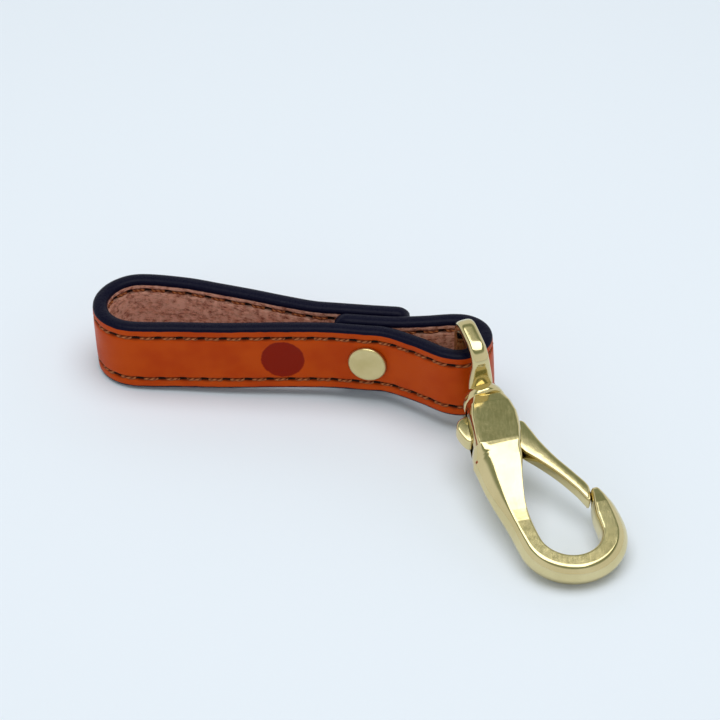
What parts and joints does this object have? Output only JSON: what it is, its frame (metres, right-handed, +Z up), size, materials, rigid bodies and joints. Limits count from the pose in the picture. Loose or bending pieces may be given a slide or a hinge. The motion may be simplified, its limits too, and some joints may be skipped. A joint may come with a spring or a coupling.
{
  "type": "keychain",
  "caption": "Stitched leather strap folded into a belt loop and a small loop, riveted round the turning eye of a brass snap hook with a sprung thumb gate.",
  "frame": {"origin": "on the surface the keychain lies on, under the middle of its outline", "axes": "+X from the belt loop to the hook along the length, -Y towards the front of the strap that carries the rivet cap, +Z up, across the width of the strap"},
  "size_m": [0.1104, 0.0846, 0.0265],
  "materials": {
    "leather": "waxed bridle leather",
    "thread": "waxed twisted thread",
    "brass": "polished",
    "spring_steel": "drawn wire"
  },
  "bodies": {
    "strap": {"strap": "leather", "upper_needle_thread": "thread", "upper_bobbin_thread": "thread", "lower_needle_thread": "thread", "lower_bobbin_thread": "thread", "rivet_cap": "brass", "rivet_back_cap": "brass"},
    "eye": {"swivel_eye": "brass"},
    "hook": {"hook_body": "brass", "gate_pin": "brass", "gate_spring": "spring_steel"},
    "gate": {"gate_lever": "brass"}
  },
  "joints": [
    {"name": "hook_swing", "type": "hinge", "parent": "strap", "child": "eye", "pos_m": [0.02168, 0.01606, 0.01314], "axis": [0, 0, 1], "range_deg": [-40, 140]},
    {"name": "eye_swivel", "type": "hinge", "parent": "eye", "child": "hook", "pos_m": [0.02679, 0.00437, 0.01197], "axis": [-0.32, 0.9293, 0.1843], "continuous": true},
    {"name": "gate_pivot", "type": "hinge", "parent": "hook", "child": "gate", "pos_m": [0.02987, -0.00611, 0.00992], "axis": [-0.06, 0.1743, -0.9829], "range_deg": [0, 20], "stiffness_Nm_per_rad": 0.05, "springref_deg": -22.92, "deforming": ["gate_spring"]}
  ]
}
